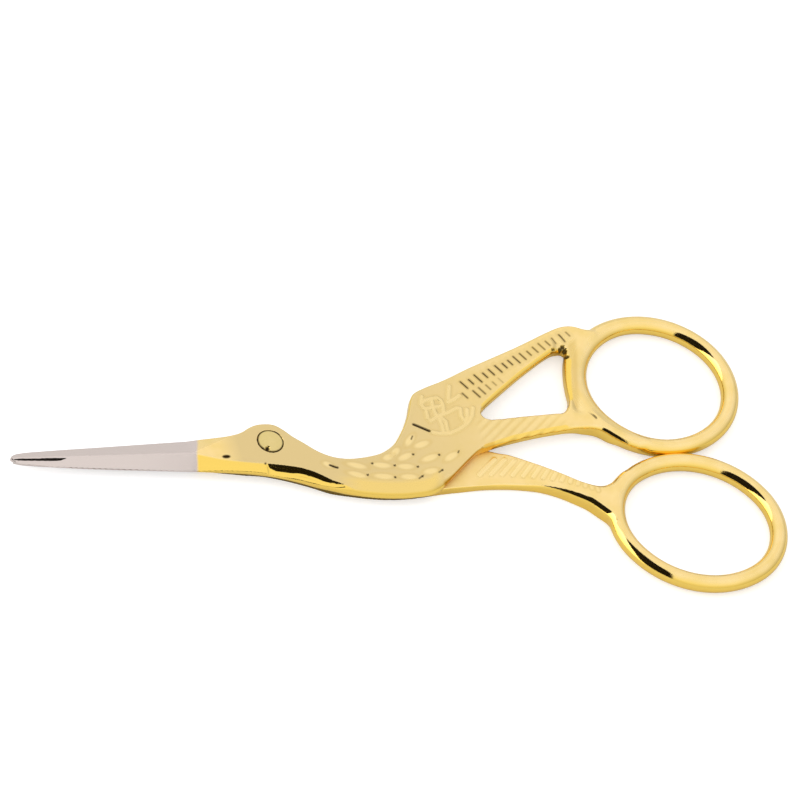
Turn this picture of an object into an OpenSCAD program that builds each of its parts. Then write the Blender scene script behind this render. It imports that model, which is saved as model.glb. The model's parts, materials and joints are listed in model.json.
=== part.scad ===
// Stork embroidery scissors: two halves that cross at the bird's eye, held by one screw.
// Each half is a flat plate in the bird. Both legs thicken towards finger rings that lie in one plane.
// The outlines are drawn from the pivot: +X runs to the rings, +Y to the bird's back.

/* [Blades] */
// Length of the bill from the pivot to the tip
blade_len = 32.2; // [27:0.5:38]
// Height of the tip above the line through the pivot
tip_rise = 0.5; // [0.2:0.05:0.8]
// Thickness of one blade at its tip
tip_t = 0.6; // [0.5:0.05:0.8]
// Cutting edge of the front blade above the pivot line
edge_rise = 1.38; // [1.1:0.02:1.7]
// Cutting edge of the back blade below the pivot line, at the root
edge_drop = 2.8; // [2.5:0.05:3.1]
// Flat left behind each cutting edge
edge_t = 0.35; // [0.25:0.05:0.5]
// Distance from the pivot to the root of the ground blade
bill_root = 10; // [9:0.25:12]

/* [Bird] */
// Thickness of one half in the head, neck and body
plate_t = 1.2; // [1:0.05:1.5]
// Running gap between the two halves
play = 0.02; // [0.02:0.01:0.06]
// Top of the head above the pivot
head_h = 2.65; // [2.5:0.05:3]
// Lowest point of the nape below the pivot line
nape_drop = 3.1; // [2.8:0.1:3.4]
// Lowest point of the belly below the pivot line
belly_drop = 7.6; // [7.2:0.1:8]
// How far the front half stands out over the back half along the throat and belly
throat_lap = 0.9; // [0.7:0.05:1.05]
// Shoulder of the folded wing above the pivot line
wing_h = 5.6; // [5:0.1:6.4]
// End of the tail above the pivot line
tail_h = 13.95; // [13.4:0.05:14.6]

/* [Legs and rings] */
// Thickness of the round bar that each finger ring is bent from
bar_d = 2.12; // [1.8:0.02:2.3]
// Length of the front finger hole
front_hole_l = 17; // [16.2:0.1:18]
// Width of the front finger hole
front_hole_w = 15.9; // [15.2:0.1:16.2]
// Length of the back finger hole
back_hole_l = 17.7; // [16.8:0.1:18.6]
// Width of the back finger hole
back_hole_w = 15.5; // [14.8:0.1:16.2]
// Slope of the front finger hole's long side
front_tilt = -7; // [-20:1:0]
// Slope of the back finger hole's long side
back_tilt = -18; // [-30:1:0]
// Distance from the pivot to the near side of the finger rings, at the bar's centre
ring_x = 40.28; // [39.9:0.02:40.7]
// Line where the closed rings meet, below the pivot line
meet_drop = 4.95; // [4.7:0.05:5.2]
// Gap that is left between the closed rings
ring_gap = 0.06; // [0.04:0.02:0.2]
// Width of the front leg at its middle
leg_w = 2.5; // [2.2:0.1:2.8]
// Thickness of each leg where it meets its ring
leg_t = 2.2; // [2:0.05:2.3]
// Reach of the back half's body plate from the pivot
flat_reach = 27.3; // [27:0.1:27.8]
// Distance from the pivot where the front leg starts to deepen
front_deepens = 37; // [34:0.5:38]
// Distance from the pivot where the back leg starts to rise
back_rises = 28.5; // [28:0.5:31]

/* [Pivot screw] */
// Diameter of the screw's head, which is the bird's eye
eye_d = 3.1; // [2.8:0.05:3.4]
// Depth of the recess that the head sits in
eye_depth = 0.55; // [0.4:0.05:0.7]
// Height of the head above the bird's face
eye_proud = 0.12; // [0:0.02:0.2]
// Diameter of the screw's shank
shank_d = 1.9; // [1.6:0.05:2.2]
// Radial clearance between the shank and the front half
run_fit = 0.03; // [0.01:0.01:0.08]
// Radial clearance around the head in its recess
eye_fit = 0.06; // [0.04:0.01:0.12]
// Clearance under the head
head_lift = 0.02; // [0.01:0.01:0.04]

/* [Hidden] */
$fn = 96;

// Heights of the layers above the table
front_z = plate_t + play;
top_z = front_z + plate_t;
bar_z = (plate_t + front_z) / 2;

// A ring is an oval of four quarter arcs: [middle, half length, half width, slope] of its centre line
function arc_shift(a, b) = (a - b) / (2 - sqrt(2));
// Half of an oval along X and along Y
function half_x(a, b, tilt) = a + arc_shift(a, b) * (cos(tilt) - 1);
function half_y(a, b, tilt) = b - arc_shift(a, b) * (cos(tilt) - 1);
front_a = (front_hole_l + bar_d) / 2;
front_b = (front_hole_w + bar_d) / 2;
back_a = (back_hole_l + bar_d) / 2;
back_b = (back_hole_w + bar_d) / 2;
front_half_x = half_x(front_a, front_b, front_tilt);
back_half_x = half_x(back_a, back_b, back_tilt);
front_half_y = half_y(front_a, front_b, front_tilt) + bar_d / 2;
back_half_y = half_y(back_a, back_b, back_tilt) + bar_d / 2;
front_ring = [[ring_x + front_half_x, front_half_y + ring_gap / 2 - meet_drop], front_a, front_b, front_tilt];
back_ring = [[ring_x + back_half_x, -back_half_y - ring_gap / 2 - meet_drop], back_a, back_b, back_tilt];

// The origin is under the middle of the closed scissors
left_x = -blade_len;
right_x = ring_x + 2 * max(front_half_x, back_half_x) + bar_d / 2;
high_y = front_ring[0][1] + front_half_y;
low_y = back_ring[0][1] - back_half_y;
middle = [(left_x + right_x) / 2, (high_y + low_y) / 2];

// Longer than any side of the scissors, for cuts
far = 120;
// Points that a curve gets between two of its control points
steps = 4;

// Smooth closed curve through hand-placed points
function bend(a, b, c, d, t) = 0.5 * ((2 * b) + (c - a) * t + (2 * a - 5 * b + 4 * c - d) * t * t
    + (3 * b - a - 3 * c + d) * t * t * t);
function smooth(p) = [
    for (i = [0:len(p) - 1])
        for (k = [0:steps - 1])
            bend(p[(i + len(p) - 1) % len(p)], p[i], p[(i + 1) % len(p)], p[(i + 2) % len(p)], k / steps)
];

// Point on a ring's centre line where it faces a given way, and a row of such points
function ring_point(ring, way) =
    let (shift = arc_shift(ring[1], ring[2]))
    let (phi = way - ring[3])
    let (at_end = abs(cos(phi)) > abs(sin(phi)))
    let (r = at_end ? ring[1] - shift : ring[2] + shift)
    let (mid = at_end ? [shift * sign(cos(phi)), 0] : [0, -shift * sign(sin(phi))])
    ring[0] + [mid[0] * cos(ring[3]) - mid[1] * sin(ring[3]), mid[0] * sin(ring[3]) + mid[1] * cos(ring[3])]
    + r * [cos(way), sin(way)];
function ring_side(ring, from, to, count) = [
    for (i = [0:count])
        ring_point(ring, from + (to - from) * i / count)
];

// Share of the blade's length from its root, so that the bill stretches with its length
function bill(share) = -bill_root - (blade_len - bill_root) * share;

// Crown, nape and breast, from the forehead to the wing, shared by both halves
crown = [
    [-3, 0.66 * head_h],
    [-2, 0.87 * head_h],
    [-1.1, 0.98 * head_h],
    [0, head_h],
    [1.1, 0.92 * head_h],
    [2, 0.66 * head_h],
    [3, 0.6],
    [4, -0.3],
    [5.5, 1.4 - nape_drop],
    [7, 0.5 - nape_drop],
    [8.5, 0.08 - nape_drop],
    [10, -nape_drop],
    [12, 0.2 - nape_drop],
    [13.5, 0.6 - nape_drop]
];

// Throat and belly of the back half, from the belly back to the bill
throat = [
    [18.5, 0.1 - belly_drop],
    [16.5, -belly_drop],
    [15, 0.02 - belly_drop],
    [13, 0.2 - belly_drop],
    [11, 0.52 - belly_drop],
    [9, 1 - belly_drop],
    [7, -6.1],
    [5, -5.35],
    [3, -4.48],
    [1, -3.75],
    [-1, -3.25]
];

// The front half's own throat and belly, which stand out over the back half
front_throat = [for (p = throat) p + throat_lap * [-0.6, -0.93]];

// Height of the front leg's lower side along its length
function leg_low(x) = 1.6 - leg_w - 0.06 * (38.5 - x) - 0.0085 * pow(38.5 - x, 2);

front_outline = smooth(concat(
    [
        [-blade_len, tip_rise],
        [0.35 - blade_len, edge_rise - 0.42],
        [1.3 - blade_len, edge_rise - 0.12],
        [bill(0.83), edge_rise],
        [bill(0.45), edge_rise],
        [bill(0), edge_rise],
        [-6, edge_rise - 0.14],
        [-4.2, edge_rise]
    ],
    crown,
    [
        [15, -1.6],
        [16, -0.5],
        [17.2, 1.2],
        [18.05, 2.7],
        [18.6, wing_h - 1.6],
        [19, wing_h - 0.7],
        [19.6, wing_h + 0.05],
        [21, wing_h + 0.7],
        [24, tail_h - 6.6],
        [28, tail_h - 4.9],
        [34, tail_h - 2.6],
        [38, tail_h - 0.9],
        [40, tail_h - 0.15],
        [41.3, tail_h],
        [42.6, tail_h - 0.3]
    ],
    ring_side(front_ring, 122, 228, 8),
    [
        [42.7, leg_low(38.5) - 0.8],
        [41.5, leg_low(38.5) - 0.26],
        [40.1, leg_low(38.5)],
        [38, leg_low(38)],
        [34, leg_low(34)],
        [30, leg_low(30)],
        [27, leg_low(27)],
        [25.6, -3.1],
        [24, -4.3],
        [22.2, -5.8],
        [20.7, 0.65 - belly_drop],
        [19.4, -0.3 - belly_drop]
    ],
    front_throat,
    [
        [-4.3, -0.75 - edge_drop],
        [-9.2, -0.2 - edge_drop],
        [bill(0.22), 0.47 - edge_drop],
        [bill(0.5), 1.13 - edge_drop],
        [bill(0.74), tip_rise - 1.48],
        [bill(0.94), tip_rise - 0.66],
        [0.3 - blade_len, tip_rise - 0.3]
    ]
));

back_outline = smooth(concat(
    [
        [-blade_len, tip_rise],
        [0.35 - blade_len, tip_rise + 0.25],
        [1.3 - blade_len, tip_rise + 0.35],
        [bill(0.83), edge_rise - 0.5],
        [bill(0.45), edge_rise - 0.48],
        [bill(0), edge_rise - 0.42],
        [-6, edge_rise - 0.3],
        [-4.2, edge_rise - 0.12]
    ],
    crown,
    [
        [15, 0.9 - nape_drop],
        [16.5, 1.6 - nape_drop],
        [18, 2.5 - nape_drop],
        [20, 0.3],
        [22.2, 0.7],
        [24.4, 0.2],
        [26.1, -1],
        [flat_reach - 0.5, -2.2],
        [28.2, -2.85],
        [29.4, -3.2],
        [31, -4.1],
        [33, -5.4],
        [35, -6.85],
        [37, -8.35],
        [38.4, -8.85],
        [39.8, -8.85],
        [41.35, -8.1]
    ],
    ring_side(back_ring, 136, 178, 4),
    [
        [39.7, back_ring[0][1] + 0.5],
        [39.2, back_ring[0][1] + 1.5],
        [38.4, back_ring[0][1] + 2.65],
        [37.45, back_ring[0][1] + 3.75],
        [36.4, -10.35],
        [34.5, -9.15],
        [32.5, -8.25],
        [30.5, -7.7],
        [28, -7.33],
        [25, -7.15],
        [22.5, -7.15],
        [20.5, -7.28]
    ],
    throat,
    [
        [-4, 0.1 - edge_drop],
        [-9, -edge_drop],
        [bill(0.2), 0.45 - edge_drop],
        [bill(0.45), 1 - edge_drop],
        [bill(0.68), 1.6 - edge_drop],
        [bill(0.9), tip_rise - 0.9],
        [0.6 - blade_len, tip_rise - 0.4]
    ]
));

// Open space between the tail, the front leg and the front ring
triangle = smooth([
    [27.2, 2.2],
    [27.5, 1.45],
    [28.6, 1.18],
    [32, leg_low(32) + leg_w + 0.5],
    [36, leg_low(36) + leg_w + 0.1],
    [37.6, leg_low(37.6) + leg_w + 0.05],
    [ring_x - 2, 2.1],
    [ring_x - 1.7, 3.4],
    [ring_x - 1.4, 5.2],
    [ring_x - 1, 7.2],
    [ring_x - 0.5, 9.2],
    [ring_x - 0.1, tail_h - 3.7],
    [ring_x - 0.4, tail_h - 3.3],
    [ring_x - 1.1, tail_h - 3.4],
    [38, tail_h - 3.9],
    [34, tail_h - 6.45],
    [30, tail_h - 9.3],
    [27.9, tail_h - 10.9]
]);

// Everything above a plane through three points, listed so that the plane's face looks up
module above(a, b, c) {
    n = cross(b - a, c - a);
    up = n[2] > 0 ? n : -n;
    translate(a)
        rotate(a = acos(up[2] / norm(up)), v = [-up[1], up[0], 0.000001])
            translate([-far / 2, -far / 2, 0])
                cube([far, far, far / 4]);
}

// Both ground faces of a blade that lies on its inner face, with its cutting edge towards +Y
// The face at its back ends in run_outs, each a plane through three points
module blade_grind(ridge_root, ridge_tip, edge_root, edge_run, back, run_outs) {
    root = [-bill_root, ridge_root, plate_t];
    tip = [0.5 - blade_len, ridge_tip, tip_t];
    edge = [-bill_root, edge_root, edge_t];
    run_out = [-4, edge_run, plate_t];
    intersection() {
        above(root, tip, edge);
        above(root, run_out, edge);
    }
    intersection() {
        above(root, tip, back);
        intersection_for (run = run_outs)
            above(run[0], run[1], run[2]);
    }
}

// Finger ring: an oval of round bar, bent in four quarter arcs
module finger_ring(ring) {
    shift = arc_shift(ring[1], ring[2]);
    translate([ring[0][0], ring[0][1], bar_z])
        rotate([0, 0, ring[3]])
            for (quarter = [0:3]) {
                r = quarter % 2 == 0 ? ring[1] - shift : ring[2] + shift;
                out = quarter % 2 == 0 ? shift : -shift;
                rotate([0, 0, 90 * quarter])
                    translate([out, 0, 0])
                        rotate([0, 0, -45])
                            rotate_extrude(angle = 90)
                                translate([r, 0])
                                    circle(d = bar_d);
            }
}

// Room inside a finger ring, so that a leg never reaches into the hole
module finger_hole(ring) {
    shift = arc_shift(ring[1], ring[2]);
    translate([ring[0][0], ring[0][1], -far / 4])
        rotate([0, 0, ring[3]])
            for (side = [-1, 1])
                translate([side * shift, 0, 0])
                    cylinder(r = ring[1] - shift - 0.15 * bar_d, h = far / 2);
}

// Front half: upper blade, bird, tail, front leg and front ring
module front_half() {
    color("goldenrod")
        translate([-middle[0], -middle[1], 0])
            difference() {
                union() {
                    difference() {
                        union() {
                            translate([0, 0, front_z])
                                linear_extrude(plate_t)
                                    polygon(front_outline);
                            front_leg_root();
                        }
                        translate([0, 0, -1])
                            linear_extrude(top_z + 2)
                                polygon(triangle);
                    }
                    finger_ring(front_ring);
                }
                translate([0, 0, front_z])
                    blade_grind(
                        -0.94,
                        tip_rise - 0.08,
                        edge_rise,
                        edge_rise,
                        [-bill_root, -0.1 - edge_drop, 0.05],
                        [
                            [[-6.9, -1.85, plate_t], [1, -3.5, plate_t], [-2.5, -3.85, 0.05]],
                            [[2.7, -3.95, plate_t], [8.6, -7.35, plate_t], [4.46, -6.19, 0.05]]
                        ]
                    );
                cylinder(d = shank_d + 2 * run_fit, h = 3 * top_z, center = true);
                translate([0, 0, top_z - eye_depth])
                    cylinder(d = eye_d + 2 * eye_fit, h = far / 4);
            }
}

// Lower part of the front leg and tail, which deepens from the flat plate to the ring
module front_leg_root() {
    low_z = bar_z + bar_d / 2 - leg_t;
    difference() {
        translate([0, 0, low_z])
            linear_extrude(front_z + 0.5 - low_z)
                polygon(front_outline);
        translate([front_deepens - far, -far / 2, -1])
            cube([far, far, top_z + 2]);
        mirror([0, 0, 1])
            above([front_deepens, 0, -front_z], [front_deepens, 1, -front_z], [ring_x + 2.5, 0, -low_z]);
        finger_hole(front_ring);
    }
}

// Back half: lower blade, neck and body plate, back leg and back ring
module back_half() {
    color("gold")
        translate([-middle[0], -middle[1], 0])
            difference() {
                union() {
                    linear_extrude(plate_t)
                        polygon(back_outline);
                    back_leg_root();
                    finger_ring(back_ring);
                }
                translate([0, 0, plate_t])
                    rotate([180, 0, 0])
                        blade_grind(
                            0.47,
                            -tip_rise,
                            edge_drop,
                            edge_drop,
                            [-bill_root, 0.4 - edge_rise, edge_t / 2],
                            [[[-5.2, 0.02, plate_t], [-2.5, -2.1, plate_t], [-5.2, -1.28, edge_t / 2]]]
                        );
                cylinder(d = shank_d, h = 3 * top_z, center = true);
            }
}

// Upper part of the back leg, which rises from the flat plate to the ring
module back_leg_root() {
    high_z = bar_z - bar_d / 2 + leg_t;
    difference() {
        linear_extrude(high_z)
            polygon(back_outline);
        translate([back_rises - far, -far / 2, -1])
            cube([far, far, top_z + 2]);
        above([back_rises, 0, plate_t], [back_rises, 1, plate_t], [ring_x - 2, 0, high_z]);
        finger_hole(back_ring);
    }
}

// Pivot screw: its head is the bird's eye, its end is screwed into the back half
module pivot_screw() {
    color("khaki")
        translate([-middle[0], -middle[1], 0])
            difference() {
                union() {
                    translate([0, 0, top_z - eye_depth + head_lift])
                        cylinder(d = eye_d, h = eye_depth - head_lift + eye_proud);
                    translate([0, 0, 0.05])
                        cylinder(d = shank_d, h = top_z - eye_depth);
                }
                rotate([0, 0, 235])
                    translate([eye_d / 2 - 0.65, -0.25, top_z - 0.15])
                        cube([1, 0.5, 1]);
            }
}

front_half();
back_half();
pivot_screw();
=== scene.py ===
import json
import math

import bpy
import numpy as np
from mathutils import Matrix, Vector


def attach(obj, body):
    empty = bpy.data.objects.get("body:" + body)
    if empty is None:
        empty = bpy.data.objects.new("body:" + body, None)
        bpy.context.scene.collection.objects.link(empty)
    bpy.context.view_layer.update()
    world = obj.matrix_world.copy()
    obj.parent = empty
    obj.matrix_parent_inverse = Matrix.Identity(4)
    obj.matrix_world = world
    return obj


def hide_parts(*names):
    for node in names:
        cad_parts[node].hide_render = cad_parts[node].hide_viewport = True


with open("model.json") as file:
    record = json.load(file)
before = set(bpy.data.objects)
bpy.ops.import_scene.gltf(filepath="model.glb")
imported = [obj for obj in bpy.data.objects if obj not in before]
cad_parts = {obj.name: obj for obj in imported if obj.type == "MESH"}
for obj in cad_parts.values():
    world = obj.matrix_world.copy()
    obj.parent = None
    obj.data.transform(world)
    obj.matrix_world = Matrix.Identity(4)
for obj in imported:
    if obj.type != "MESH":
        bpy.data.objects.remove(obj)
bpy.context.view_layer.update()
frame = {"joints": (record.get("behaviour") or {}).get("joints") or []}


# Front half: the upper blade, head, neck, wing, tail, front leg and upper finger ring in one piece.
# It is forged steel, ground along the bill, stamped with feathers, then plated in gold.
# Only the ground bill keeps its nickel colour. Lengths are millimetres from the pivot.
pivot = Vector(frame["joints"][0]["pos_m"])
grain = 0.085  # spacing of the points that the skins are made from
top_z = 2.42  # upper face of the front half
front_z = 1.22  # lower face of the front half, a hair above the back half
bar_z, bar_r = 1.21, 1.06  # both rings are of round bar and lie in one plane
reach = 2.0  # distances to lines are followed no further than this


def smooth(points, steps=6):
    """Closed curve through the points."""
    p = np.array(points, float)
    a, b, c, d = np.roll(p, 1, 0), p, np.roll(p, -1, 0), np.roll(p, -2, 0)
    t = (np.arange(steps) / steps)[None, :, None]
    a, b, c, d = (q[:, None, :] for q in (a, b, c, d))
    bow = (2 * a - 5 * b + 4 * c - d) * t**2
    curve = 0.5 * (2 * b + (c - a) * t + bow + (3 * b - a - 3 * c + d) * t**3)
    return curve.reshape(-1, 2)


class Sheet:
    """A plan of one half, as a grid of points that its heights and edges are drawn on."""

    def __init__(self, low, high):
        self.xs = np.arange(low[0], high[0], grain)
        self.ys = np.arange(low[1], high[1], grain)
        self.x, self.y = np.meshgrid(self.xs, self.ys, indexing="ij")

    def near(self, line, far=reach, closed=False):
        """Distance to a line, no more than far."""
        line = np.array(line, float)
        gap = np.full(self.x.shape, far)
        ends = np.roll(line, -1, 0) if closed else line[1:]
        for a, b in zip(line, ends):
            low, high = np.minimum(a, b) - far, np.maximum(a, b) + far
            i = np.searchsorted(self.xs, [low[0], high[0]])
            j = np.searchsorted(self.ys, [low[1], high[1]])
            part = (slice(*i), slice(*j))
            px, py, e = self.x[part] - a[0], self.y[part] - a[1], b - a
            t = np.clip((px * e[0] + py * e[1]) / max(e @ e, 1e-9), 0, 1)
            gap[part] = np.minimum(gap[part], np.hypot(px - t * e[0], py - t * e[1]))
        return gap

    def depth(self, outline):
        """Distance in from a closed outline, below zero outside it."""
        turns = np.zeros((len(self.xs) + 1, len(self.ys)), int)
        for a, b in zip(outline, np.roll(outline, -1, 0)):
            rows = np.arange(*np.searchsorted(self.ys, sorted((a[1], b[1]))))
            if len(rows):
                at = a[0] + (self.ys[rows] - a[1]) / (b[1] - a[1]) * (b[0] - a[0])
                np.add.at(turns, (np.searchsorted(self.xs, at), rows), 1)
        inside = turns[::-1].cumsum(0)[::-1][1:] % 2 == 1
        gap = self.near(outline, closed=True)
        return np.where(inside, gap, -gap)

    def slope(self, a, b, c):
        """Height of the plane through three points."""
        a, b, c = (np.array(p, float) for p in (a, b, c))
        n = np.cross(b - a, c - a)
        return a[2] - (n[0] * (self.x - a[0]) + n[1] * (self.y - a[1])) / n[2]

    def ring_gap(self, ring):
        """Distance out from the centre line of an oval of four arcs."""
        middle, a, b, tilt = ring
        shift, turn = (a - b) / (2 - math.sqrt(2)), math.radians(tilt)
        px, py = self.x - middle[0], self.y - middle[1]
        u = np.abs(px * math.cos(turn) + py * math.sin(turn))
        v = np.abs(py * math.cos(turn) - px * math.sin(turn))
        end_gap = np.hypot(u - shift, v) - (a - shift)
        side_gap = np.hypot(u, v + shift) - (b + shift)
        return np.where(v < u - shift, end_gap, side_gap)


def ring_side(ring, start, stop, count):
    """Points on a ring's centre line, by the way that they face."""
    middle, a, b, tilt = ring
    shift, turn = (a - b) / (2 - math.sqrt(2)), math.radians(tilt)
    points = []
    for way in np.radians(np.linspace(start, stop, count + 1)):
        c, s = math.cos(way - turn), math.sin(way - turn)
        at_end = abs(c) > abs(s)
        r = a - shift if at_end else b + shift
        m = (shift * np.sign(c), 0) if at_end else (0, -shift * np.sign(s))
        px = middle[0] + m[0] * math.cos(turn) - m[1] * math.sin(turn) + r * math.cos(way)
        py = middle[1] + m[0] * math.sin(turn) + m[1] * math.cos(turn) + r * math.sin(way)
        points.append([px, py])
    return points


def ease(value, start, stop):
    """0 before start, 1 after stop, smooth between them."""
    t = np.clip((value - start) / (stop - start), 0, 1)
    return t * t * (3 - 2 * t)


def meet(a, b, r):
    """Where two solids overlap, with an edge of radius r."""
    return np.minimum(np.maximum(a, b), -r) + np.hypot(np.maximum(a + r, 0), np.maximum(b + r, 0))


def join(a, b, k):
    """Two solids run together, with a fillet of about k."""
    h = np.maximum(k - np.abs(a - b), 0) / k
    return np.minimum(a, b) - h * h * k / 4


def cast(name, sheet, solid, low, high, stains_and_painted_light):
    """The skin of a solid between two heights. solid(z) is below zero inside it.

    Each mark (stains, wear, and painted light and shade alike) is a plan and a floor. Above its
    floor, the plan's value is kept on the skin as an attribute that the plating reads.
    """
    zs = np.arange(low, high, grain)
    field = np.stack([solid(z) for z in zs], axis=2).astype(np.float32)
    inside = field < 0
    # Each grid line that crosses the skin gives a face between the four cells around it.
    spots, cells = [], []
    for axis in range(3):
        up = np.eye(3, dtype=int)[axis]
        one, two = (np.eye(3, dtype=int)[(axis + k) % 3] for k in (1, 2))
        lower = tuple(slice(0, -1 if k == axis else None) for k in range(3))
        upper = tuple(slice(1 if k == axis else 0, None) for k in range(3))
        at = np.argwhere(inside[lower] != inside[upper])
        f0 = field[tuple(at.T)]
        f1 = field[tuple((at + up).T)]
        spots.append(np.repeat(at + up * (f0 / (f0 - f1))[:, None], 4, 0))
        four = at[:, None, :] - np.array([one + two, two, 0 * one, one])[None]
        four = np.where((f0 < 0)[:, None, None], four, four[:, ::-1])
        cells.append(four.reshape(-1, 3))
    spots, cells = np.concatenate(spots), np.concatenate(cells)
    # A cell's point is the middle of the crossings on its edges.
    keys = np.ravel_multi_index(cells.T + 1, np.array(field.shape) + 2)
    _, back = np.unique(keys, return_inverse=True)
    back = back.ravel()
    count = np.bincount(back)
    points = np.stack([np.bincount(back, spots[:, k]) / count for k in range(3)], 1)
    mesh = bpy.data.meshes.new(name)
    place = points * grain + np.array([sheet.xs[0], sheet.ys[0], low])
    world = place / 1000 + np.array([pivot.x, pivot.y, 0])
    mesh.vertices.add(len(world))
    mesh.vertices.foreach_set("co", world.ravel())
    mesh.loops.add(len(back))
    mesh.loops.foreach_set("vertex_index", back.astype(np.int32))
    mesh.polygons.add(len(back) // 4)
    mesh.polygons.foreach_set("loop_start", np.arange(0, len(back), 4, dtype=np.int32))
    mesh.polygons.foreach_set("use_smooth", np.ones(len(back) // 4, bool))
    mesh.update(calc_edges=True)
    i = np.clip(points[:, 0].astype(int), 0, len(sheet.xs) - 2)
    j = np.clip(points[:, 1].astype(int), 0, len(sheet.ys) - 2)
    u, v = points[:, 0] - i, points[:, 1] - j

    def read(plan):
        """A plan's value at each point of the skin."""
        near = plan[i, j] * (1 - u) + plan[i + 1, j] * u
        far = plan[i, j + 1] * (1 - u) + plan[i + 1, j + 1] * u
        return near * (1 - v) + far * v

    for stain_and_painted_light, (plan, floor) in stains_and_painted_light.items():
        layer = mesh.attributes.new(stain_and_painted_light, "FLOAT", "POINT")
        layer.data.foreach_set("value", np.where(place[:, 2] > read(floor), read(plan), 0.0))
    made = bpy.data.objects.new(name, mesh)
    bpy.context.scene.collection.objects.link(made)
    return made


# The outline runs round the bird from the tip of the bill. A ring is its middle, half its length
# and width along the bar's centre line, and its tilt in degrees.
front_ring = [[49.79, 5.105], 9.56, 9.01, -7]
bill_tip = [[-32.2, 0.5], [-31.85, 0.96], [-30.9, 1.26], [-28.4, 1.38]]
bill_tip += [[-20, 1.38], [-10, 1.38], [-6, 1.24], [-4.2, 1.38]]
crown = [[-3, 1.75], [-2, 2.31], [-1.1, 2.6], [0, 2.65], [1.1, 2.44], [2, 1.75], [3, 0.6]]
crown += [[4, -0.3], [5.5, -1.7], [7, -2.6], [8.5, -3.02], [10, -3.1], [12, -2.9], [13.5, -2.5]]
wing = [[15, -1.6], [16, -0.5], [17.2, 1.2], [18.05, 2.7], [18.6, 4], [19, 4.9]]
wing += [[19.6, 5.65], [21, 6.3]]
tail = [[24, 7.35], [28, 9.05], [34, 11.35], [38, 13.05], [40, 13.8], [41.3, 13.95], [42.6, 13.65]]
front_leg = [[45.7, -4.05], [45, -3.78], [44.3, -3.42], [43.4, -2.82], [42.5, -2.1]]
front_leg += [[41.5, -1.35], [40.4, -1.0], [39.3, -0.93], [38, -0.93], [34, -1.34]]
front_leg += [[30, -2.02], [27, -2.71]]
breast = [[25.6, -3.1], [24, -4.3], [22.2, -5.8]]
belly = [[20.65, -7.1], [19.3, -8.1], [17.9, -8.53], [16, -8.66], [14.5, -8.66], [12.5, -8.5]]
belly += [[10.5, -8.18], [8.4, -7.7], [6.4, -7.16], [4.4, -6.44], [2.4, -5.57], [0.4, -4.83]]
belly += [[-1.6, -4.27], [-4.3, -3.75], [-9.2, -3.12]]
bill_back = [[-15, -2.53], [-21.1, -1.87], [-26.4, -1.18], [-31, -0.32], [-31.9, 0.15]]
gap = [[27.2, 2.2], [27.5, 1.45], [28.6, 1.18], [32, 1.35], [36, 1.47], [37.3, 1.5], [38.1, 2.2]]
gap += [[38.66, 3.4], [38.88, 5.2], [39.28, 7.2], [39.78, 9.2], [40.18, 10.25], [39.88, 10.65]]
gap += [[39.18, 10.55], [38, 10.05], [34, 7.5], [30, 4.65], [27.9, 3.05]]
outline = bill_tip + crown + wing + tail + ring_side(front_ring, 122, 252, 9)
outline += front_leg + breast + belly + bill_back

front = Sheet((-33, -9), (61, 16))
x, y = front.x, front.y
inside = front.depth(smooth(outline))
opening = front.depth(smooth(gap))
edge = np.minimum(inside, -opening)

# The bill is ground to a ridge, with a cutting bevel above it and below it a flank that falls to
# the parting line. The ridge runs on under the head and dies out on the neck. Near the tip and
# along the neck the flank starts with a steep lip, whose polish shows as a dark streak.
bend = [[-13, -0.754], [-10, -0.94], [-6.9, -1.9], [-5.1, -2.35], [-3, -2.75], [-1, -3.1]]
bend += [[1, -3.5], [2.7, -3.95], [3.8, -4.45], [4.9, -5.15], [5.9, -5.9], [7, -6.5], [8.6, -7.35]]
# The smooth curve closes on itself, so only its points from the second bend to the last are kept.
ridge = [[-31.9, 0.42], *smooth(bend)[6 : 6 * len(bend) - 11], bend[-1]]
root_x, bill_run, tip_drop = -10, 21.7, 0.6
crest = top_z - tip_drop * np.clip((root_x - x) / bill_run, 0, 1)
ridge_root, edge_root = [root_x, -0.94, top_z], [root_x, 1.38, 1.57]
bevel = np.maximum(
    front.slope(ridge_root, [-31.7, 0.42, top_z - tip_drop], edge_root),
    front.slope(ridge_root, [-4, 1.38, top_z], edge_root),
)
flank_end, flank_foot = 8.6, 1.26
below_ridge = (y < np.interp(x, *np.array(ridge).T)) * (x < flank_end)
out = front.near(ridge, 3.0) * below_ridge
skip = np.interp(x, [-31.6, -25.4, -25], [0, 0.14, 0])
lip = [(-32.2, 0.2), (-31, 0.28), (-27, 0.32), (-26.2, 0.28), (-25.1, 0), (-1.35, 0), (-1.1, 0.5)]
lip += [(-0.3, 0.76), (1.5, 0.8), (2.8, 0.68), (5, 0.5), (6.4, 0.3), (7.5, 0)]
lip = np.interp(x, *np.array(lip).T)
lip_slope = 0.71
flank_slope = 0.5 - 0.24 * ease(x, -8, 6)
fade = (x < -20) + ease(x, -1, 3)
lip_fall = np.clip(out - skip, 0, lip) - lip * fade * ease(out - skip - lip, 0, 0.7)
flank = flank_slope * out + (lip_slope - flank_slope) * lip_fall
flank = np.minimum(flank, crest - flank_foot)
high = np.minimum(crest, bevel) - flank
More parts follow.
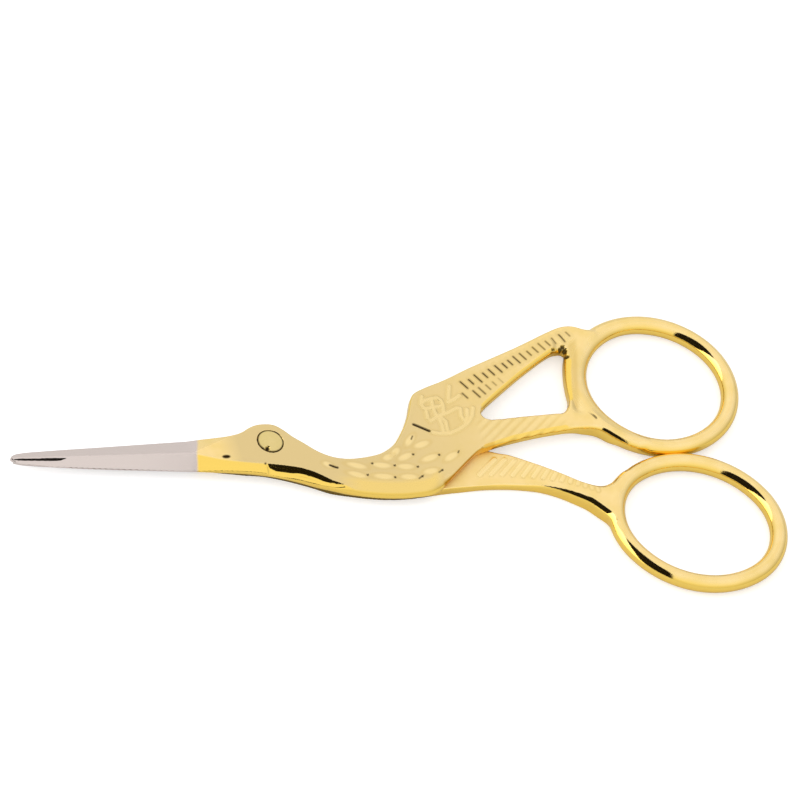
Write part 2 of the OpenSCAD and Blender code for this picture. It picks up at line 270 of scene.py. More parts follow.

# Feathers on the neck and body stand up as small leaves, with punched dots and strokes at their
# ends. Each is its place, its length and its turn. What stands up is worn, and painted shade
# darkens the gold around it.
feathers = [(9.7, -4.3, 2.6, -18), (9.4, -5.6, 2.4, -20), (12.8, -4.5, 2.4, -10)]
feathers += [(12.6, -6.1, 2.6, -8), (13.9, -3.4, 1.6, 20), (15, -2.7, 1.6, 40)]
feathers += [(16, -3.5, 2.2, 22), (15.7, -4.9, 2.2, -4), (15.7, -6.4, 2.2, -4)]
feathers += [(17.2, -1.2, 2.2, 48), (18.5, -1.9, 2.2, 18), (19, -3.9, 2.4, 18)]
feathers += [(18.6, -5.8, 2, 10), (21.7, -3.9, 2.2, 30), (6.2, -3.9, 1.4, -32)]
leaf_half_width, relief = 0.42, 0.1
worn = np.zeros(x.shape)
# The hollow mask is painted shade: darker gold around each raised mark.
hollow = np.zeros(x.shape)
for fx, fy, length, turn in feathers:
    c, s = math.cos(math.radians(turn)), math.sin(math.radians(turn))
    u, v = (x - fx) * c + (y - fy) * s, (y - fy) * c - (x - fx) * s
    leaf = np.hypot(u / (length / 2), v / leaf_half_width)
    high = high + relief * ease(leaf, 1.5, 0.2)
    hollow = np.maximum(hollow, 0.4 * ease(leaf, 1.7, 1.2) * ease(leaf, 0.8, 1.1))
    worn = np.maximum(worn, 0.75 * ease(leaf, 1.2, 0.5))
dots = [(11.7, -4.1), (10.7, -5.7), (14.4, -4.6), (14, -6.3), (17.1, -3.2)]
dots += [(17.2, -5), (17.4, -6.4), (20.3, -3.5), (20.1, -5.7)]
ticks = [[(17.4, -1.1), (17.7, -0.6)], [(22.7, -3.4), (22.9, -3.1)]]
ticks += [[(19.6, -6), (20.2, -5.6)], [(16.9, -6.7), (17.5, -6.3)]]
dot_r, tick_r, punch = 0.13, 0.05, 0.08
punched = np.full(x.shape, reach)
for dx, dy in dots:
    punched = np.minimum(punched, np.hypot(x - dx, y - dy) - dot_r)
for line in ticks:
    punched = np.minimum(punched, front.near(line, 0.8) - tick_r)
nick = front.near([(6.4, -4.02), (7.25, -4.38)], 0.8)
fold = front.near([(18.3, 1.1), (20, 0)], 0.8)
high = high - punch * ease(punched, 0.12, -0.05) - punch * ease(nick, 0.24, 0.05)
high = high - 0.1 * ease(fold, 0.26, 0.05)

# The wing carries a plain knot of raised lines inside a raised hem.
hem = [(20.3, -0.2), (21.2, -0.45), (22.5, -0.5), (23.6, -0.1), (24.5, 0.4)]
hem += [(25.3, 1), (25.9, 1.8), (26.3, 2.9)]
knot = [
    [(20.4, 5), (20, 3.9), (20.4, 2.9), (20.3, 1.8)],
    [(20.2, 4.1), (20.6, 4.4), (21.4, 4.6), (22.2, 4.7), (22.6, 4.3), (22.7, 3.6), (22.5, 2.6)],
    [(20.5, 1.4), (21.3, 1.8), (22.1, 2.2), (22.9, 2.4), (24.2, 3), (24.5, 3)],
    [(24.7, 2.9), (24.5, 1.8), (24.8, 1), (25.2, 1.5), (25.5, 2.7)],
    [(21.9, 1.9), (22.4, 1.2), (22.3, -0.1)],
    [(21.7, 1.6), (21.8, 0.6), (21.7, -0.4)],
    hem,
    [(23.4, 3.9), (24.3, 4.3), (25.1, 4.8)],
    [(24.2, 6.2), (23.6, 4.4)],
    [(20.2, 3.2), (21.3, 3.3), (22.6, 3.5)],
    [(21.5, 2), (21.3, 3.3), (21.5, 4.6)],
]
raised = np.full(x.shape, reach)
for line in knot:
    raised = np.minimum(raised, front.near(line, 0.9))
block = front.near([(21.4, 2.9), (21.6, 3.9)], 0.8)
high = high + relief * ease(raised, 0.42, 0.05) + 0.04 * ease(block, 0.6, 0.1)
worn = np.maximum(worn, 0.5 * ease(raised, 0.24, 0.06))
# Painted shade darkens the gold around the knot's raised lines.
hollow = np.maximum(hollow, 0.4 * ease(raised, 0.6, 0.35) * ease(raised, 0.18, 0.3))

# Two rows of barbs are stamped along the tail. Each is its place and its depth, and they grow
# fainter towards the ring.
barbs = [(26.1, 6.3, 1), (27.1, 6.7, 1), (28.1, 7.1, 1), (29.1, 7.5, 1), (30, 7.9, 1)]
barbs += [(31, 8.3, 1), (31.9, 8.7, 1), (32.7, 9.1, 0.95), (33.6, 9.45, 0.9), (34.5, 9.85, 0.85)]
barbs += [(35.4, 10.25, 0.8), (36.3, 10.7, 0.75), (37.2, 11.1, 0.7), (38.1, 11.5, 0.7)]
barbs += [(39, 11.9, 0.75), (40.1, 12.2, 0.9), (40.95, 12.65, 0.6)]
barbs += [(25.8, 4.75, 0.8), (27.3, 4.9, 0.9), (28.1, 5.3, 0.75), (29, 5.75, 0.6)]
barbs += [(29.9, 6.2, 0.45), (30.8, 6.6, 0.3)]
barb_half, barb_way = 0.52, np.array([0.545, -0.839])
stroke = np.zeros(x.shape)
barb = np.zeros(x.shape)
for bx, by, depth in barbs:
    uneven = 1 + 0.25 * math.sin(9 * bx)
    half = barb_half * (0.5 + 0.5 * depth) * uneven * barb_way
    line = front.near([(bx - half[0], by - half[1]), (bx + half[0], by + half[1])], 0.8)
    stroke = np.maximum(stroke, depth * ease(line, 0.14, 0.05))
    barb = np.maximum(barb, depth * ease(line, 0.4, 0.05))
    worn = np.maximum(worn, depth * ease(np.abs(line - 0.38), 0.2, 0.05))
    # Painted shade darkens the gold around each barb.
    hollow = np.maximum(hollow, 0.6 * depth * ease(line, 0.6, 0.45))
high = high - punch * barb

# The web between tail and ring is sunk, so that the ring's bar stands up from it. The casting is
# pitted at its top, and creased where the leg meets the ring.
web = ease(x, 38.4, 39.4) * ease(y, 0.6, 2.4) * ease(y, 12.6, 11)
valley = front.near([(41.4, 12.4), (40.6, 8.8), (39.2, 3.1), (38.7, 1.4)], 1.2)
high = high - 0.34 * web - 0.16 * ease(x, 41.5, 44.5)
pits = [(38.5, 10.62, 0.18), (38.75, 10.7, 0.16), (39.6, 10.8, 0.26), (39.95, 11.05, 0.3)]
pits += [(40.12, 10.6, 0.3), (40.08, 9.65, 0.34), (39.6, 10.25, 0.12)]
pit = np.full(x.shape, reach)
for px, py, r in pits:
    pit = np.minimum(pit, np.hypot(x - px, y - py) - r)
high = high - 0.3 * ease(pit, 0.06, -0.25)
crease = front.near([(40.55, 1.2), (41.15, 0.2)], 0.8)
high = high - 0.1 * ease(crease, 0.2, 0.03)

# The front leg has soft slanting ribs.
rib_pitch = 0.92
leg = ease(x, 25.6, 27) * ease(x, 38.5, 35) * ease(y, -2.6, -1.6) * ease(y, 1.6, 0.9)
across_ribs = x * 0.64 - y * 0.77
wave = np.sin(2 * math.pi * across_ribs / rib_pitch)
high = high + 0.04 * leg * wave
worn = np.maximum(worn, 0.45 * leg * ease(wave, 0, 1))
# Painted shade darkens the troughs between the ribs.
hollow = np.maximum(hollow, 0.4 * leg * ease(wave, 0, -1))

# The upper edge is rounded most on the belly, a little more along the rims of gap and leg, and
# hardly at all on the bill. The lower edge is sharp but for the leg. The plate thickens downwards
# as the leg nears the ring, whose bar is thinner where it runs into the plate.
throat_y = -2 - 0.3 * np.clip(x, 0, 10)
under = ease(y, throat_y, throat_y - 0.8)
belly_edge = 0.85 * ease(x, 6, 10) * ease(x, 22, 19) - 0.2 * ease(x, 7, 4)
top_edge = 0.3 + under * belly_edge + 0.1 * ease(x, 26, 30)
on_flank = ease(out, 0.1, 0.4) * ease(x, 6.5, 5)
top_edge = top_edge + (0.06 - top_edge) * on_flank - 0.2 * ease(x, -3, -7) * (1 - under)
top_edge = top_edge + 0.1 * ease(x, 38, 41.5) * ease(y, 1.2, 0.2)
rims = front.near([(27.9, 3.05), (30, 4.65), (34, 7.5), (38, 10.05), (38.8, 10.4)], 0.9)
rims = np.minimum(rims, front.near([(26.6, -2.9), (30, -1.95), (34, -1.27), (37, -0.92)], 0.9))
top_edge = top_edge + 0.2 * ease(rims, 0.9, 0.5)
low_edge = 0.03 + 0.29 * ease(x, 25.5, 28) + 0.5 * ease(x, 39.5, 42.5)
low_edge = low_edge + 0.3 * ease(out, 0.1, 0.4) * ease(x, flank_end, 6)
low = front_z - 1.1 * ease(x, 36.6, 42.6) + 1.05 * ease(x, 42.2, 44)
bar = front.ring_gap(front_ring)
bar = np.where(bar < 0, bar * (1 - 0.33 * ease(x, 50, 42)), bar)
round_pivot = np.hypot(x, y)
recess_r, recess_depth, bore_r = 1.61, 0.55, 0.98


def front_solid(z):
    plate = np.maximum(meet(-edge, z - high, top_edge), meet(-edge, low - z, low_edge))
    ring = np.hypot(bar, z - bar_z) - bar_r
    solid = join(plate, ring, 0.7)
    recess = np.maximum(round_pivot - recess_r, top_z - recess_depth - z)
    return np.maximum(np.maximum(solid, -recess), bore_r - round_pivot)


# The punched marks, barb strokes, pits, crease, nostril and corner of the mouth are painted dark:
# grease, with painted shade in these recesses. The flank, the wall of the gap, the belly and the
# rims are polished, and get a painted reflection of deeper gold. The step's wall gets a painted
# amber reflection and shade.
grease_and_painted_shade = [ease(punched, 0.07, -0.04), ease(nick, 0.2, 0.1), ease(fold, 0.22, 0.12), stroke]
grease_and_painted_shade += [0.9 * ease(pit, 0.02, -0.08), 0.9 * ease(crease, 0.12, 0.04) * ease(y, 1.3, 0.6)]
nostril = np.hypot((x + 6) / 0.56, (y + 1.78) / 0.27)
mouth_corner = np.hypot(x + 1.45, y + 3.12) / 0.13
grease_and_painted_shade += [ease(np.minimum(nostril, mouth_corner), 1.1, 0.7)]
grease_and_painted_shade = np.maximum.reduce(grease_and_painted_shade)
# Painted shade: gold is darker around raised marks, between ribs and in the web's valley.
painted_hollow_shade = np.maximum(0.75 * hollow, 0.6 * web * ease(valley, 0.8, 0.2))
# Painted reflection and shade: the step's wall beside the back leg is painted amber, as the back
# leg's gold reflects in it.
step = front.near([(26.8, -2.6), *breast, (20.7, -6.95)], 1.2)
shade = ease(step, 1.1, 0.7) * (1 - 0.6 * ease(x, 24, 26))
wall = front.near([(38.75, 3.6), (39.05, 5.4), (39.5, 7.4), (40, 9)], 0.9)
band = 0.55 * under * ease(edge, 2.2, 1.3) * ease(x, 6, 10) * ease(x, 20.5, 18.5)
# Painted reflection: the flank, the gap's wall, a band along the belly and the rims are painted a
# deeper gold. The same mask makes them polished.
polish_and_painted_sheen = [ease(out, 0.02, 0.2), ease(wall, 0.55, 0.3), band, 0.9 * ease(rims, 0.6, 0.42)]
polish_and_painted_sheen = np.maximum.reduce(polish_and_painted_sheen)
everywhere = 0 * x
stains_and_painted_light = {
    "grease_and_painted_shade": (grease_and_painted_shade, high - 0.5),
    "worn": (worn, high - 0.3),
    "painted_hollow_shade": (painted_hollow_shade, high - 0.3),
    "shade": (shade, everywhere),
    "flank": (polish_and_painted_sheen, everywhere),
}
front_half = cast("front_half_cast", front, front_solid, 0.02, 2.66, stains_and_painted_light)


def socket_group(name, inputs, outputs):
    """An empty shader group with named sockets."""
    group = bpy.data.node_groups.new(name, "ShaderNodeTree")
    for socket, kind, value in inputs:
        made = group.interface.new_socket(socket, in_out="INPUT", socket_type=kind)
        made.default_value = value
    for socket, kind in outputs:
        group.interface.new_socket(socket, in_out="OUTPUT", socket_type=kind)
    return group, group.nodes.new("NodeGroupInput"), group.nodes.new("NodeGroupOutput")


def add(tree, kind, **values):
    """A node with its properties."""
    node = tree.nodes.new(kind)
    for key, value in values.items():
        setattr(node, key, value)
    return node


def math_node(tree, operation, a, b=None, c=None, clamp=False):
    """One sum on up to three values or sockets."""
    node = add(tree, "ShaderNodeMath", operation=operation, use_clamp=clamp)
    for socket, value in zip(node.inputs, (a, b, c)):
        if value is None:
            continue
        if isinstance(value, (int, float)):
            socket.default_value = value
        else:
            tree.links.new(value, socket)
    return node.outputs[0]


def mix_colour(tree, factor, a, b):
    """Colour a at factor 0, colour b at 1."""
    node = add(tree, "ShaderNodeMix", data_type="RGBA")
    for socket, value in ((node.inputs[0], factor), (node.inputs[6], a), (node.inputs[7], b)):
        if isinstance(value, (int, float, tuple)):
            socket.default_value = value
        else:
            tree.links.new(value, socket)
    return node.outputs[2]


# Satin: the cloudy look and fine tooth of a plated casting.
satin, given, out = socket_group(
    "satin",
    [("Cloud size", "NodeSocketFloat", 400.0), ("Tooth size", "NodeSocketFloat", 9000.0)],
    [("Cloud", "NodeSocketFloat"), ("Tooth", "NodeSocketFloat"), ("Height", "NodeSocketFloat")],
)
where = add(satin, "ShaderNodeTexCoord").outputs["Object"]
cloud = add(satin, "ShaderNodeTexNoise")
cloud.inputs["Detail"].default_value = 3
tooth = add(satin, "ShaderNodeTexNoise")
tooth.inputs["Detail"].default_value = 2
for node, size in ((cloud, "Cloud size"), (tooth, "Tooth size")):
    satin.links.new(where, node.inputs["Vector"])
    satin.links.new(given.outputs[size], node.inputs["Scale"])
satin.links.new(cloud.outputs["Fac"], out.inputs["Cloud"])
satin.links.new(tooth.outputs["Fac"], out.inputs["Tooth"])
height = math_node(satin, "MULTIPLY_ADD", cloud.outputs["Fac"], 3.0, tooth.outputs["Fac"])
satin.links.new(height, out.inputs["Height"])


# All gold is brighter where it is worn, and darker in hollows by painted shade. Marks hold grease
# and painted shade.
worn_gold = (1, 0.78, 0.37, 1)
painted_shade_gold = (0.74, 0.52, 0.16, 1)
painted_reflection_amber = (0.6, 0.27, 0.004, 1)
grease_and_shade_dark = (0.05, 0.03, 0.01, 1)


def plating(name, face, cloudy, flank, nickel=None, dull=None):
    """Gold plate, cloudy on its faces, with a painted reflection of deeper gold on flanks and
    tilted faces, and painted shade in hollows.

    It is duller on the neck, nickel at the bill, satin on level faces and polished elsewhere.
    """
    made = bpy.data.materials.new(name)
    made.use_nodes = True
    tree = made.node_tree
    shader = tree.nodes["Principled BSDF"]
    shader.inputs["Metallic"].default_value = 1
    finish = add(tree, "ShaderNodeGroup", node_tree=satin)
    position = add(tree, "ShaderNodeSeparateXYZ")
    tree.links.new(add(tree, "ShaderNodeTexCoord").outputs["Object"], position.inputs[0])
    facing = add(tree, "ShaderNodeSeparateXYZ")
    tree.links.new(add(tree, "ShaderNodeNewGeometry").outputs["Normal"], facing.inputs[0])

    def stain_and_painted_light(attribute):
        """A mark's value on the skin, be it wear, grease, or painted light and shade; 0 on a piece
        that has none.
        """
        return add(tree, "ShaderNodeAttribute", attribute_name=attribute).outputs["Fac"]

    def past(axis, steepness, place):
        """0 before a place along an axis, 1 after it."""
        along = position.outputs[axis]
        return math_node(tree, "MULTIPLY_ADD", along, steepness, -steepness * place, clamp=True)

    clouds = math_node(tree, "MULTIPLY_ADD", finish.outputs["Cloud"], 3.0, -1.0, clamp=True)
    colour = mix_colour(tree, clouds, face, cloudy)
    if dull:
        start, stop = past("X", 400.0, pivot.x - 0.0065), past("X", -45.0, pivot.x + 0.037)
        colour = mix_colour(tree, math_node(tree, "MULTIPLY", start, stop), colour, dull)
    colour = mix_colour(tree, stain_and_painted_light("worn"), colour, worn_gold)
    # Painted shade darkens the hollows.
    colour = mix_colour(tree, stain_and_painted_light("painted_hollow_shade"), colour, painted_shade_gold)
    # Painted reflection: flanks, the polished places and every face tilted from level take a
    # deeper, more saturated gold.
    polish_and_painted_sheen = stain_and_painted_light("flank")
    side = math_node(tree, "MULTIPLY_ADD", facing.outputs["Z"], -2.8, 2.6, clamp=True)
    side = math_node(tree, "MAXIMUM", side, polish_and_painted_sheen)
    colour = mix_colour(tree, side, colour, flank)
    # Painted reflection and shade: the step's wall is painted amber.
    colour = mix_colour(tree, math_node(tree, "MULTIPLY", stain_and_painted_light("shade"), side), colour, painted_reflection_amber)
    # Level faces are satin. Anything tilted by 22 degrees or more is polished.
    level = math_node(tree, "MULTIPLY_ADD", facing.outputs["Z"], 14.0, -13.0, clamp=True)
    level = math_node(tree, "MULTIPLY", level, math_node(tree, "SUBTRACT", 1.0, polish_and_painted_sheen))
    rough = math_node(tree, "MULTIPLY_ADD", level, 0.4, 0.05)
    rough = math_node(tree, "MULTIPLY_ADD", finish.outputs["Tooth"], 0.04, rough)
    if nickel:
        # The gold ends in a slanting line across the bill, a little uneven. The nickel is satin,
        # but less so towards the tip.
        slant, line_x = 0.27, 0.0087
        bx, by, bz = (position.outputs[axis] for axis in "XYZ")
        across = math_node(tree, "MULTIPLY_ADD", by, -slant, bx)
        across = math_node(tree, "MULTIPLY_ADD", bz, slant, across)
        line = pivot.x - slant * pivot.y - line_x
        line = math_node(tree, "MULTIPLY_ADD", finish.outputs["Cloud"], 0.0005, line)
        bill = math_node(tree, "SUBTRACT", line, across)
        bill = math_node(tree, "MULTIPLY_ADD", bill, 3000.0, 0.5, clamp=True)
        colour = mix_colour(tree, bill, colour, nickel)
        ground = math_node(tree, "MULTIPLY", bill, past("X", 60.0, pivot.x - 0.024))
        rough = math_node(tree, "MAXIMUM", rough, math_node(tree, "MULTIPLY", ground, 0.3))
    # Grease, and painted shade in recesses and along the parting line, are painted near black.
    grease_and_painted_shade = stain_and_painted_light("grease_and_painted_shade")
    colour = mix_colour(tree, grease_and_painted_shade, colour, grease_and_shade_dark)
    rough = math_node(tree, "MULTIPLY_ADD", grease_and_painted_shade, 0.4, rough)
    tree.links.new(colour, shader.inputs["Base Color"])
    tree.links.new(rough, shader.inputs["Roughness"])
    bump = add(tree, "ShaderNodeBump")
    bump.inputs["Strength"].default_value = 0.12
    bump.inputs["Distance"].default_value = 0.00002
    tree.links.new(finish.outputs["Height"], bump.inputs["Height"])
    tree.links.new(bump.outputs["Normal"], shader.inputs["Normal"])
    return made


gold_face, gold_cloud = (1, 0.76, 0.35, 1), (0.95, 0.71, 0.27, 1)
# The flank gold is a painted reflection, more saturated than the face gold.
painted_flank_gold, dull_gold = (0.97, 0.67, 0.14, 1), (0.79, 0.61, 0.29, 1)
nickel = (0.71, 0.62, 0.58, 1)
front_plating = plating("front_gold_plate", gold_face, gold_cloud, painted_flank_gold, nickel, dull_gold)
front_half.data.materials.append(front_plating)
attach(front_half, "front")
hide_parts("front_half")


# Back half: the lower blade, the plate behind head and body, the back leg and the lower ring.
# It is forged in one piece of steel and plated like the front half, and holds the screw's thread.
# Its leg is ribbed where it comes out from under the bird.
back_ring = [[50.08, -14.895], 9.91, 8.81, -18]
back_bill = [[-31.7, 0.45], [-31.5, 0.7], [-30.7, 0.85], [-28.4, 0.88]]
back_bill += [[-20, 0.9], [-10, 0.96], [-6, 1.08], [-4.2, 1.26]]
rump = [[15, -2.2], [16.5, -1.5], [18, -0.6], [20, 0.3], [22.2, 0.7], [24.4, 0.2], [26.1, -1]]
rump += [[26.8, -2.2], [28.2, -2.85], [29.4, -3.2], [31, -4.1], [33, -5.4], [35, -6.85]]
rump += [[37, -8.35], [38.4, -8.9], [39.7, -8.95], [40.8, -8.55], [41.7, -7.85], [42.7, -7.2]]
rump += [[43.6, -7.3]]
back_leg = [[39.7, -14.4], [39.1, -13.45], [38.25, -12.4], [37.3, -11.35], [36.25, -10.58]]
back_leg += [[34.4, -9.4], [32.4, -8.5], [30.4, -8.02], [28, -7.68], [25, -7.53]]
back_leg += [[22.5, -7.55], [20.5, -7.6]]
# Throat and belly stay behind the front half's, so that its wall alone shows there.
throat = [[px, py + 0.95 - 0.25 * (px > 5)] for px, py in belly[2:-2]]
back_edge = [[-4.3, -2.95], [-6.5, -2.72], [-9, -2.45], [-14.4, -2.05], [-20, -1.5]]
back_edge += [[-25.1, -0.92], [-30, -0.15], [-31.3, 0.2]]
outline = back_bill + crown + rump + ring_side(back_ring, 136, 178, 4)
outline += back_leg + throat + back_edge

back = Sheet((-33, -25.5), (61.4, 3.4))
x, y = back.x, back.y
edge = back.depth(smooth(outline))
back_z, leg_rise = 1.2, 1.04
high = back_z + leg_rise * ease(x, 28.3, 38.6)

# The blade is ground from below: a cutting bevel and, above its ridge, a slant to the back.
ridge_root, tip = [root_x, -0.47, 0], [-31.7, 0.5, 0.6]
edge_root, spine_root = [root_x, -2.8, 0.85], [root_x, 0.98, 1.02]
bevel = np.minimum(
    back.slope(ridge_root, tip, edge_root), back.slope(ridge_root, [-4, -2.8, 0], edge_root)
)
slant = np.minimum(
    back.slope(ridge_root, tip, spine_root),
    back.slope([-5.2, -0.02, 0], [-2.5, 2.1, 0], [-5.2, 1.28, 1.02]),
)
low = np.maximum(0, np.maximum(bevel, slant))

# Slanting ribs on the top of the leg, upright and shorter towards the ring.
ribs = np.zeros(x.shape)
for k in range(14):
    foot = 25 + 1.45 * k - 0.031 * k * k
    base = -5.95 - 0.022 * (foot - 25) ** 2
    line = [(foot, base), (foot + 2.5 - 0.19 * k, base + 2.1 - 0.09 * k)]
    ribs = np.maximum(ribs, (0.9 - 0.03 * k) * ease(back.near(line, 0.9), 0.46, 0.06))
high = high + relief * ribs * ease(edge, 0.25, 0.7)

# The edges are sharp in the blade and rounder towards the ring, most along the leg's lower side.
lower_side = ease(y, -5.6 - 0.34 * (x - 26), -6.4 - 0.38 * (x - 26))
top_edge = 0.03 + 0.04 * ease(x, -3, 0) + 0.25 * ease(x, 25, 27)
top_edge = top_edge + 0.6 * ease(x, 37, 40) * ease(y, -10.5, -9.5)
top_edge = top_edge + 0.5 * ease(x, 32.5, 38.5) * lower_side
low_edge = 0.08 + 0.32 * ease(x, 21, 26) + 0.5 * ease(x, 38, 41)
bar = back.ring_gap(back_ring)
shank_r = 0.95
round_pivot = np.hypot(x, y)


def back_solid(z):
    plate = np.maximum(meet(-edge, z - high, top_edge), meet(-edge, low - z, low_edge))
    ring = np.hypot(bar, z - bar_z) - bar_r
    return np.maximum(join(plate, ring, 0.45), shank_r - round_pivot)


# Painted shadow darkens the parting line along the belly, and painted shade makes the hollows
# between the ribs a deeper gold.
between = ease(ribs, 0.55, 0.2) * ease(ribs, 0, 0.12)
painted_seam_shadow = 0.8 * ease(edge, 0.12, 0.03) * ease(y, -2.4, -2.8)
painted_seam_shadow = painted_seam_shadow * ease(x, 19.5, 17.5) * ease(x, -8, -6)
under_all = 0 * x - 1
stains_and_painted_light = {
    "worn": (ribs, high - 0.3),
    "painted_hollow_shade": (0.5 * between, high - 0.3),
    "grease_and_painted_shade": (painted_seam_shadow, under_all),
}
back_half = cast("back_half_cast", back, back_solid, -0.2, 2.45, stains_and_painted_light)
back_plating = plating("back_gold_plate", gold_face, gold_cloud, painted_flank_gold, nickel)
back_half.data.materials.append(back_plating)
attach(back_half, "back")
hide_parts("back_half")


# Pivot screw: its head is the bird's eye, let into the front half with a hairline of clearance.
# It is turned steel, plated, with one small notch that a pin wrench turns it by.
eye_r, eye_top = 1.55, 2.54
head_foot, shank_foot, shank_top = 1.89, 0.05, 2.2
eye = Sheet((-1.9, -1.9), (1.9, 1.9))
x, y = eye.x, eye.y
from_axis = np.hypot(x, y)
dome = eye_top - 0.07 * (from_axis / eye_r) ** 2
notch = eye.near([(-0.62, -0.98), (-0.9, -1.5)], 0.9)
dome = dome - 0.16 * ease(notch, 0.34, 0.18)
lid = np.abs(np.hypot(x + 0.2, y + 0.5) - 0.8)
dome = dome - 0.02 * ease(lid, 0.2, 0.03) * ease(y, -0.3, 0.1)


def screw_solid(z):
    head = np.maximum(meet(from_axis - eye_r, z - dome, 0.12), head_foot - z)
    shank = np.maximum(np.maximum(from_axis - shank_r, shank_foot - z), z - shank_top)
    return np.minimum(head, shank)


# Painted shade: the rim of the head, at the hairline clearance, and the notch are painted dark.
grease_and_painted_shade = np.maximum(ease(from_axis, 1.4, 1.5), ease(notch, 0.3, 0.18))
stains_and_painted_light = {"grease_and_painted_shade": (grease_and_painted_shade, dome - 0.5)}
pivot_screw = cast("pivot_screw_turned", eye, screw_solid, -0.13, 2.75, stains_and_painted_light)
screw_face, screw_cloud = (0.82, 0.66, 0.3, 1), (0.76, 0.6, 0.24, 1)
screw_plating = plating("screw_gold_plate", screw_face, screw_cloud, painted_flank_gold)
pivot_screw.data.materials.append(screw_plating)
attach(pivot_screw, "back")
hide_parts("pivot_screw")


# Table: a plain white surface that the scissors lie on, as a product is photographed.
# It keeps their soft shadow, and glows for the camera alone, so that it stays white.
table_half = 4.0
paper_white, paper_glow = 0.74, 0.47
table_mesh = bpy.data.meshes.new("table")
corners = [(table_half * i, table_half * j, 0) for i, j in ((-1, -1), (1, -1), (1, 1), (-1, 1))]
table_mesh.from_pydata(corners, [], [(0, 1, 2, 3)])
table = bpy.data.objects.new("table", table_mesh)
table.location.z = -0.00002
bpy.context.scene.collection.objects.link(table)
paper = bpy.data.materials.new("white_paper")
paper.use_nodes = True
tree = paper.node_tree
tree.nodes.remove(tree.nodes["Principled BSDF"])
matte = add(tree, "ShaderNodeBsdfDiffuse")
matte.inputs["Color"].default_value = (paper_white, paper_white, paper_white, 1)
glow = add(tree, "ShaderNodeEmission")
glow.inputs["Color"].default_value = (1, 1, 1, 1)
seen = add(tree, "ShaderNodeLightPath").outputs["Is Camera Ray"]
tree.links.new(math_node(tree, "MULTIPLY", seen, paper_glow), glow.inputs["Strength"])
both = add(tree, "ShaderNodeAddShader")
tree.links.new(matte.outputs[0], both.inputs[0])
tree.links.new(glow.outputs[0], both.inputs[1])
tree.links.new(both.outputs[0], tree.nodes["Material Output"].inputs["Surface"])
table_mesh.materials.append(paper)

# Studio: an even white surround, dimmer below the horizon and on the rings' side. The opening that
# the camera looks in through is dark. It and the other cards are seen by metal alone.
world = bpy.data.worlds.new("studio")
bpy.context.scene.world = world
world.use_nodes = True
tree = world.node_tree
surround = tree.nodes["Background"]
rise = add(tree, "ShaderNodeSeparateXYZ")
tree.links.new(add(tree, "ShaderNodeTexCoord").outputs["Generated"], rise.inputs[0])
level_light, full_light = 0.76, 1.02
lift = math_node(tree, "MULTIPLY_ADD", rise.outputs["Z"], 0.45, level_light)
lift = math_node(tree, "MINIMUM", lift, full_light)
ring_end = math_node(tree, "MAXIMUM", math_node(tree, "SUBTRACT", rise.outputs["X"], 0.5), 0.0)
tree.links.new(math_node(tree, "MULTIPLY_ADD", ring_end, -0.4, lift), surround.inputs["Strength"])
surround.inputs["Color"].default_value = (1, 1, 1, 1)


def hang(name, place, distance, corners, colour, strength):
    """A curved card around a place, by the compass directions and heights of its corners."""
    steps, rounds = 12, 8
    rim = []
    for (a0, e0), (a1, e1) in zip(corners, corners[1:] + corners[:1]):
        for k in range(steps):
            a = math.radians(a0 + (a1 - a0) * k / steps)
            e = math.radians(e0 + (e1 - e0) * k / steps)
            rim.append(Vector((math.cos(a) * math.cos(e), math.sin(a) * math.cos(e), math.sin(e))))
    middle = sum(rim, Vector((0, 0, 0))).normalized()
    centre = pivot + Vector(place) / 1000
    points = [middle * distance + centre]
    for k in range(1, rounds + 1):
        points += [middle.lerp(p, k / rounds).normalized() * distance + centre for p in rim]
    n = len(rim)
    faces = [(0, 1 + k, 1 + (k + 1) % n) for k in range(n)]
    for r in range(1, (rounds - 1) * n, n):
        faces += [(r + k, r + n + k, r + n + (k + 1) % n, r + (k + 1) % n) for k in range(n)]
    mesh = bpy.data.meshes.new(name)
    mesh.from_pydata(points, [], faces)
    card = bpy.data.objects.new(name, mesh)
    bpy.context.scene.collection.objects.link(card)
    look = bpy.data.materials.new(name)
    look.use_nodes = True
    tree = look.node_tree
    tree.nodes.remove(tree.nodes["Principled BSDF"])
    light = add(tree, "ShaderNodeEmission")
    light.inputs["Color"].default_value = colour
    light.inputs["Strength"].default_value = strength
    tree.links.new(light.outputs[0], tree.nodes["Material Output"].inputs["Surface"])
    mesh.materials.append(look)
    card.visible_camera = card.visible_diffuse = False
    card.visible_shadow = card.visible_transmission = False


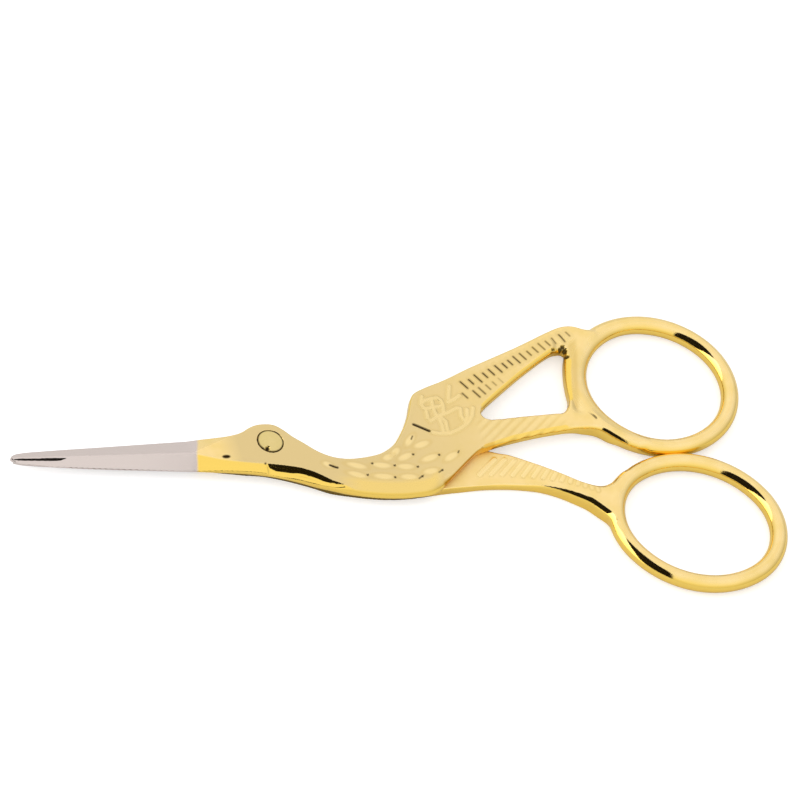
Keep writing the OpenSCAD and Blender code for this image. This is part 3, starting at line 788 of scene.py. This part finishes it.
black = (0.012, 0.01, 0.008, 1)
rings, neck, bill_end = (50, -5, 2), (5, -5, 2), (-28, 0, 2)
opening = [(205, 8), (240, 8), (240, 40), (239, 62), (232, 74), (200, 80), (150, 81)]
opening += [(140, 75), (147, 63), (162, 54), (179, 45), (194, 31)]
hood = [(236, 46), (283, 46), (283, 64), (236, 64)]
stick = [(284, 43), (310, 43), (310, 58), (284, 58)]
pane = [(145, 1), (212, 1), (205, 8), (194, 31), (179, 45), (162, 54), (145, 58)]
hang("dark_opening", rings, 0.5, opening, black, 1.0)
hang("dark_hood", neck, 0.06, hood, black, 1.0)
hang("dark_stick", bill_end, 0.08, stick, black, 1.0)
hang("bright_pane", rings, 0.52, pane, (1, 0.99, 0.95, 1), 2.0)

# One soft window beyond the blades, which gloss doesn't show.
lamp = bpy.data.lights.new("window", "AREA")
lamp.shape, lamp.size, lamp.size_y, lamp.energy = "RECTANGLE", 0.7, 0.4, 2.2
window = bpy.data.objects.new("window", lamp)
window.location = (-0.6, 0.0, 0.3)
window.rotation_mode = "QUATERNION"
window.rotation_quaternion = (-window.location).to_track_quat("-Z", "Y")
window.visible_glossy = False
bpy.context.scene.collection.objects.link(window)

# Camera: a long lens, 50 degrees above the table, turned about its own axis as in the photograph.
# It stands so far off that the view hardly narrows, and takes in a width of 94 mm.
distance, wide_mm = 4.0, 94.0
right_level = Vector((0.8371, -0.5470, 0))
up_level = Vector((0.4195, 0.6420, 0.6417))
roll = math.radians(22.9)
right = math.cos(roll) * right_level + math.sin(roll) * up_level
up = math.cos(roll) * up_level - math.sin(roll) * right_level
toward = right.cross(up).normalized()
aim = Vector((pivot.x, pivot.y, top_z / 1000)) + 0.01524 * right + 0.004853 * up
film_mm = 36.0
lens = bpy.data.cameras.new("camera")
lens.sensor_width = film_mm
lens.lens = film_mm * distance * 1000 / wide_mm
lens.clip_start, lens.clip_end = 0.01, 20
camera = bpy.data.objects.new("camera", lens)
turned = Matrix((right, up, toward)).transposed().to_4x4()
camera.matrix_world = Matrix.Translation(aim + distance * toward) @ turned
bpy.context.scene.collection.objects.link(camera)
bpy.context.scene.camera = camera
bpy.context.scene.view_settings.view_transform = "Standard"
